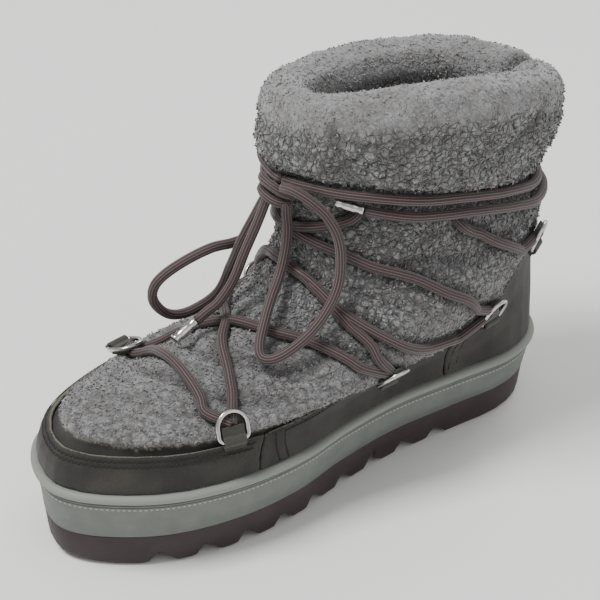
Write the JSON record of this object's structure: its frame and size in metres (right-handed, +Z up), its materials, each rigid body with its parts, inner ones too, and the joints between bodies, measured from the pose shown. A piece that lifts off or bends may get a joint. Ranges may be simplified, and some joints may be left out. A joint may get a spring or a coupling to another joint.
{
  "type": "sheepskin boot",
  "caption": "Right-foot ankle boot: furry sheepskin upper with a rolled collar, leather foxing with D-rings, round laces tied in a bow, and a platform sole with a saw-tooth tread",
  "frame": {"origin": "on the floor under the middle of the boot's box, without the free laces", "axes": "toe towards -Y, heel towards +Y, inner (medial) side of the foot towards +X, +Z up"},
  "size_m": [0.1188, 0.2799, 0.201],
  "materials": {
    "fleece": "curly grey sheepskin",
    "nubuck": "dark olive-brown nubuck, light cut edge",
    "midsole": "matt grey-green moulded foam rubber",
    "tread": "matt dark burgundy-brown rubber",
    "cord": "braided round lace, fine pale lengthwise stripes",
    "nickel": "bright nickel plate",
    "insole": "short grey fleece"
  },
  "bodies": {
    "root": {"outsole": "tread", "midsole": "midsole", "insole": "insole", "upper": "fleece", "toe_foxing": "nubuck", "quarter_medial": "nubuck", "quarter_lateral": "nubuck", "heel_counter": "nubuck", "ring_medial_1": "nickel", "tab_medial_1": "nubuck", "ring_medial_2": "nickel", "tab_medial_2": "nubuck", "ring_medial_3": "nickel", "tab_medial_3": "nubuck", "ring_medial_4": "nickel", "tab_medial_4": "nubuck", "ring_lateral_1": "nickel", "tab_lateral_1": "nubuck", "ring_lateral_2": "nickel", "tab_lateral_2": "nubuck", "ring_lateral_3": "nickel", "tab_lateral_3": "nubuck", "ring_lateral_4": "nickel", "tab_lateral_4": "nubuck", "lace_bar": "cord", "lace_cross_1": "cord", "lace_cross_2": "cord", "lace_cross_3": "cord", "lace_heel_medial": "cord", "lace_heel_lateral": "cord", "lace_ankle_wrap": "cord", "lace_knot": "cord", "lace_loop_inner": "cord", "lace_loop_outer": "cord", "lace_end_front": "cord", "lace_end_round": "cord", "aglet_front": "nickel", "aglet_round": "nickel"}
  },
  "joints": []
}
